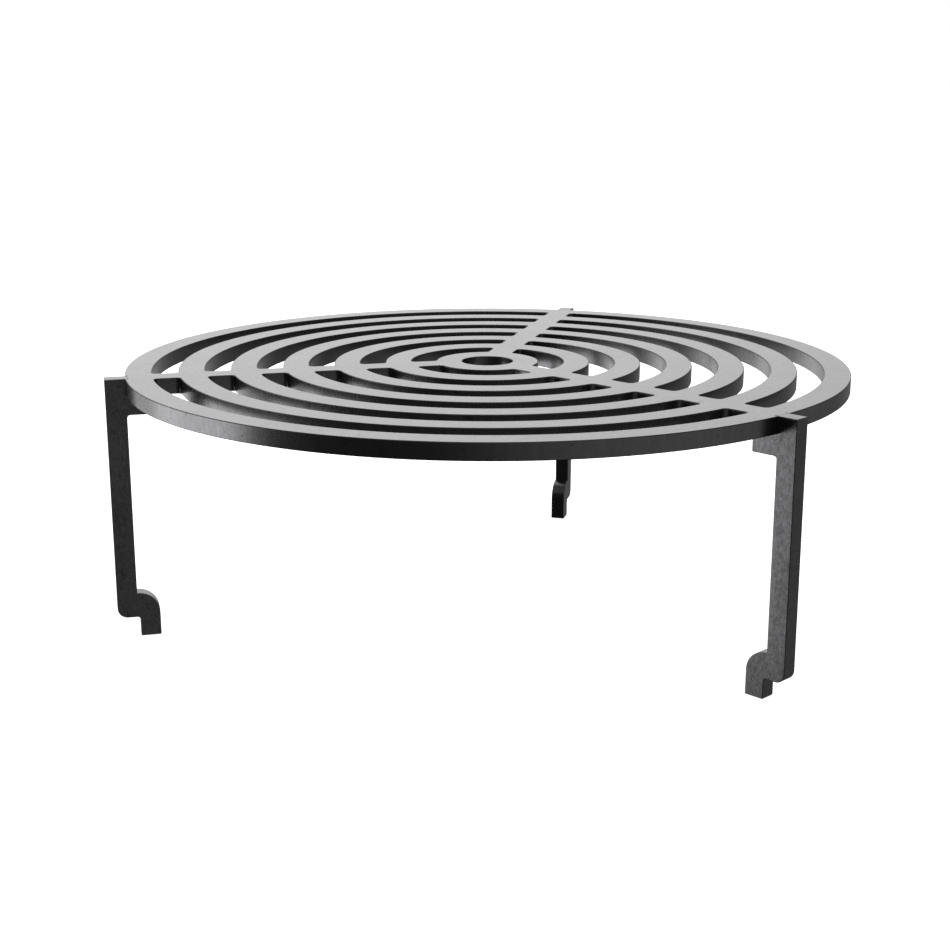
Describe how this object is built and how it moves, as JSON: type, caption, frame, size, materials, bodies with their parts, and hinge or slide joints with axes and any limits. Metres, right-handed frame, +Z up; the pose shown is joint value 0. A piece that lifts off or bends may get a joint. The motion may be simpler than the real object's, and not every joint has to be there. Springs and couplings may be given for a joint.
{
  "type": "round fire grate",
  "caption": "Round cooking grate of concentric steel rings joined by spokes, on flat hooked legs that stand on the ground or hang inside a fire bowl's opening.",
  "frame": {"origin": "on the ground, in the middle of the box round the whole object, 5 mm towards the back leg from the axis of the rings", "axes": "+Z up, from the feet to the cooking surface; +Y towards the back leg; the left and right legs at 120 degrees to it, towards -X and +X"},
  "size_m": [0.364, 0.374, 0.1315],
  "materials": {
    "plate_steel": "dark hot-rolled steel plate, oiled and blackened, satin, lightly mottled",
    "leg_steel": "the same dark steel as the plate, with laser-cut edges",
    "weld_metal": "dark rippled weld bead"
  },
  "bodies": {
    "root": {"grate_plate": "plate_steel", "leg_back": "leg_steel", "leg_left": "leg_steel", "leg_right": "leg_steel", "weld_back": "weld_metal", "weld_left": "weld_metal", "weld_right": "weld_metal"}
  },
  "joints": []
}
